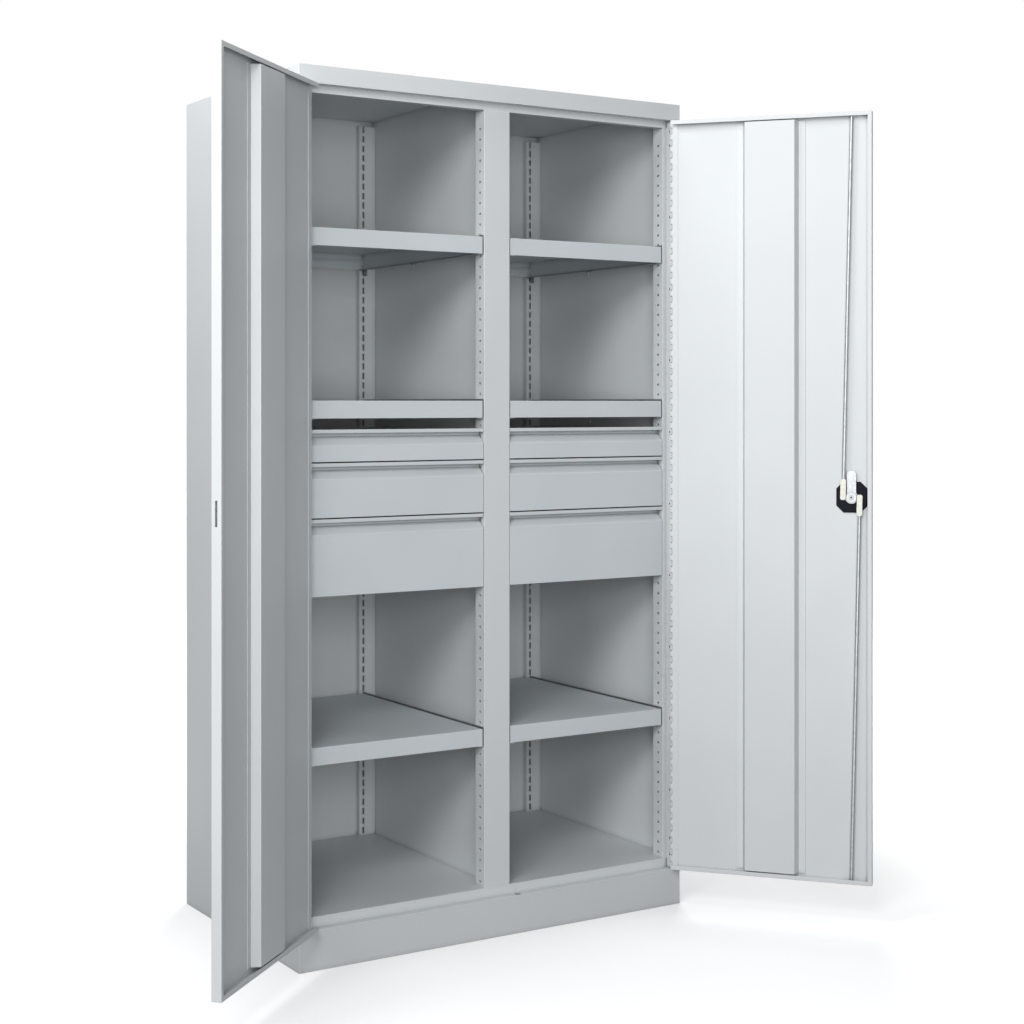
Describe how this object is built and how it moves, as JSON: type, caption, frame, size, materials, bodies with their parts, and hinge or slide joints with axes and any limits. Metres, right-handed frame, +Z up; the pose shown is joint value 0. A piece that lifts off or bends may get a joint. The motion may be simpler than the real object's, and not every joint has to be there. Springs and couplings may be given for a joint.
{
  "type": "tool cabinet with doors",
  "caption": "Tall steel tool cabinet with two hinged doors, a centre partition, adjustable shelves, pull-out drawers and a turning grip that drives a three-point rod lock.",
  "frame": {"origin": "on the floor at mid-width, in the plane of the lips that the doors close on, 22 mm behind the doors' faces", "axes": "+X to the right seen from the front, +Y to the back, +Z up; the front faces -Y"},
  "size_m": [1.6838, 1.0469, 2],
  "materials": {
    "cabinet_paint": "fine-textured satin powder coat",
    "fitting_paint": "fine-textured satin powder coat",
    "zinc_plate": "bright zinc plate",
    "die_cast_zinc": "satin die-cast zinc",
    "black_plastic": "fine-grained moulded nylon",
    "nylon": "natural nylon",
    "chrome_plate": "polished chrome plate"
  },
  "bodies": {
    "carcass": {"side_panel_left": "cabinet_paint", "side_panel_right": "cabinet_paint", "back_panel": "cabinet_paint", "roof": "cabinet_paint", "plinth": "cabinet_paint", "floor_pan": "cabinet_paint", "front_post_left": "cabinet_paint", "front_post_right": "cabinet_paint", "centre_post": "cabinet_paint", "centre_partition": "cabinet_paint", "rear_uprights": "cabinet_paint", "shelf_rails": "zinc_plate", "shelf_left_upper": "fitting_paint", "shelf_left_middle": "fitting_paint", "shelf_left_lower": "fitting_paint", "shelf_right_upper": "fitting_paint", "shelf_right_middle": "fitting_paint", "shelf_right_lower": "fitting_paint", "cabinet_runners": "zinc_plate", "runner_glides": "nylon", "hinge_frame_leaf_left": "cabinet_paint", "hinge_frame_leaf_right": "cabinet_paint", "hinge_pin_left": "zinc_plate", "hinge_pin_right": "zinc_plate", "hinge_rivets": "zinc_plate"},
    "door_left": {"door_left": "cabinet_paint", "door_left_stiffener": "cabinet_paint", "hinge_door_leaf_left": "cabinet_paint"},
    "door_right": {"door_right": "cabinet_paint", "door_right_stiffener": "cabinet_paint", "hinge_door_leaf_right": "cabinet_paint", "lock_housing": "black_plastic", "lock_rosette": "black_plastic"},
    "lock": {"lock_grip": "black_plastic", "lock_cam": "zinc_plate", "lock_screw": "zinc_plate"},
    "key_cylinder": {"lock_cylinder": "chrome_plate"},
    "upper_rod": {"upper_rod": "zinc_plate", "upper_fork": "die_cast_zinc"},
    "lower_rod": {"lower_rod": "zinc_plate", "lower_fork": "die_cast_zinc"},
    "drawer_left_upper": {"drawer_left_upper_front": "fitting_paint", "drawer_left_upper_box": "fitting_paint", "drawer_left_upper_slides": "fitting_paint"},
    "drawer_left_middle": {"drawer_left_middle_front": "fitting_paint", "drawer_left_middle_box": "fitting_paint", "drawer_left_middle_slides": "fitting_paint"},
    "drawer_left_lower": {"drawer_left_lower_front": "fitting_paint", "drawer_left_lower_box": "fitting_paint", "drawer_left_lower_slides": "fitting_paint"},
    "drawer_right_upper": {"drawer_right_upper_front": "fitting_paint", "drawer_right_upper_box": "fitting_paint", "drawer_right_upper_slides": "fitting_paint"},
    "drawer_right_middle": {"drawer_right_middle_front": "fitting_paint", "drawer_right_middle_box": "fitting_paint", "drawer_right_middle_slides": "fitting_paint"},
    "drawer_right_lower": {"drawer_right_lower_front": "fitting_paint", "drawer_right_lower_box": "fitting_paint", "drawer_right_lower_slides": "fitting_paint"}
  },
  "joints": [
    {"name": "door_left_hinge", "type": "hinge", "parent": "carcass", "child": "door_left", "pos_m": [-0.498, -0.0228, 1.025], "axis": [0, 0, -1], "range_deg": [-138.5, 41.5]},
    {"name": "door_right_hinge", "type": "hinge", "parent": "carcass", "child": "door_right", "pos_m": [0.498, -0.0228, 1.025], "axis": [0, 0, 1], "range_deg": [-129.7, 50.3]},
    {"name": "lock_turn", "type": "hinge", "parent": "door_right", "child": "lock", "pos_m": [0.77522, -0.37362, 1.026], "axis": [0.7694, 0.6388, 0], "range_deg": [0, 90]},
    {"name": "key_turn", "type": "hinge", "parent": "lock", "child": "key_cylinder", "pos_m": [0.79676, -0.35574, 1.026], "axis": [0.7694, 0.6388, 0], "range_deg": [0, 90]},
    {"name": "upper_rod_crank", "type": "hinge", "parent": "lock", "child": "upper_rod", "pos_m": [0.76167, -0.35887, 1.026], "axis": [0.7694, 0.6388, 0], "range_deg": [-91.28, 0]},
    {"name": "lower_rod_crank", "type": "hinge", "parent": "lock", "child": "lower_rod", "pos_m": [0.78723, -0.38965, 1.026], "axis": [0.7694, 0.6388, 0], "range_deg": [-91.28, 0]},
    {"name": "drawer_left_upper_slide", "type": "slide", "parent": "carcass", "child": "drawer_left_upper", "axis": [0, -1, 0], "range_m": [0, 0.45]},
    {"name": "drawer_left_middle_slide", "type": "slide", "parent": "carcass", "child": "drawer_left_middle", "axis": [0, -1, 0], "range_m": [0, 0.45]},
    {"name": "drawer_left_lower_slide", "type": "slide", "parent": "carcass", "child": "drawer_left_lower", "axis": [0, -1, 0], "range_m": [0, 0.45]},
    {"name": "drawer_right_upper_slide", "type": "slide", "parent": "carcass", "child": "drawer_right_upper", "axis": [0, -1, 0], "range_m": [0, 0.45]},
    {"name": "drawer_right_middle_slide", "type": "slide", "parent": "carcass", "child": "drawer_right_middle", "axis": [0, -1, 0], "range_m": [0, 0.45]},
    {"name": "drawer_right_lower_slide", "type": "slide", "parent": "carcass", "child": "drawer_right_lower", "axis": [0, -1, 0], "range_m": [0, 0.45]}
  ],
  "couplings": [
    {"joint": "upper_rod_crank", "follows": "lock_turn", "ratio": -1.0141},
    {"joint": "lower_rod_crank", "follows": "lock_turn", "ratio": -1.0141}
  ]
}
